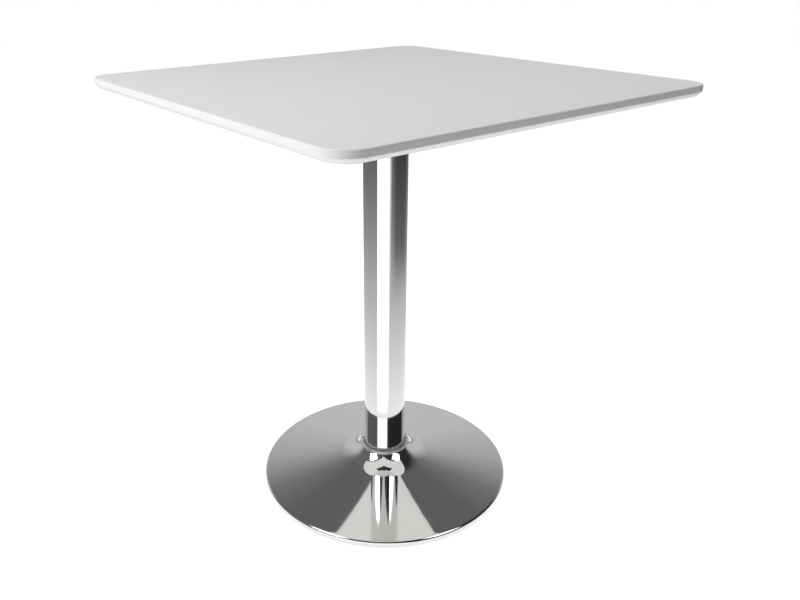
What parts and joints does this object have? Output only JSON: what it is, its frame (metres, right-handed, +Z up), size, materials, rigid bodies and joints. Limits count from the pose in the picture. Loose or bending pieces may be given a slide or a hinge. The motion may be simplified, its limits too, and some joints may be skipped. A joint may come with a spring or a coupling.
{
  "type": "bistro table",
  "caption": "Square pedestal table: white foil-wrapped top with bevelled edge on a chrome tube column and a round trumpet-shaped chrome base on a plastic floor ring.",
  "frame": {"origin": "on the floor, on the column's axis", "axes": "+Z up along the column; X and Y parallel to the sides of the top"},
  "size_m": [0.71, 0.71, 0.75],
  "materials": {
    "white_foil": "satin white foil",
    "white_backing": "matt white film",
    "fibreboard": "sawn fibreboard",
    "chrome": "polished chrome plate",
    "clear_plastic": "milky translucent plastic",
    "black_steel": "black powder coat",
    "cast_iron": "raw sand casting",
    "zinc_steel": "zinc plated",
    "brass": "turned brass"
  },
  "bodies": {
    "root": {"floor_ring": "clear_plastic", "weight": "cast_iron", "base_cover": "chrome", "neck_ring": "clear_plastic", "column_tube": "chrome", "tie_rod": "zinc_steel", "lower_washer": "zinc_steel", "lower_nut": "zinc_steel", "column_plug": "black_steel", "upper_washer": "zinc_steel", "upper_nut": "zinc_steel", "support_plate": "black_steel", "plate_rib_1": "black_steel", "plate_rib_2": "black_steel", "plate_rib_3": "black_steel", "plate_rib_4": "black_steel", "screw_washers": "zinc_steel", "top_screws": "zinc_steel", "threaded_inserts": "brass", "underside_backing": "white_backing", "top_board": "fibreboard", "top_foil": "white_foil"}
  },
  "joints": []
}
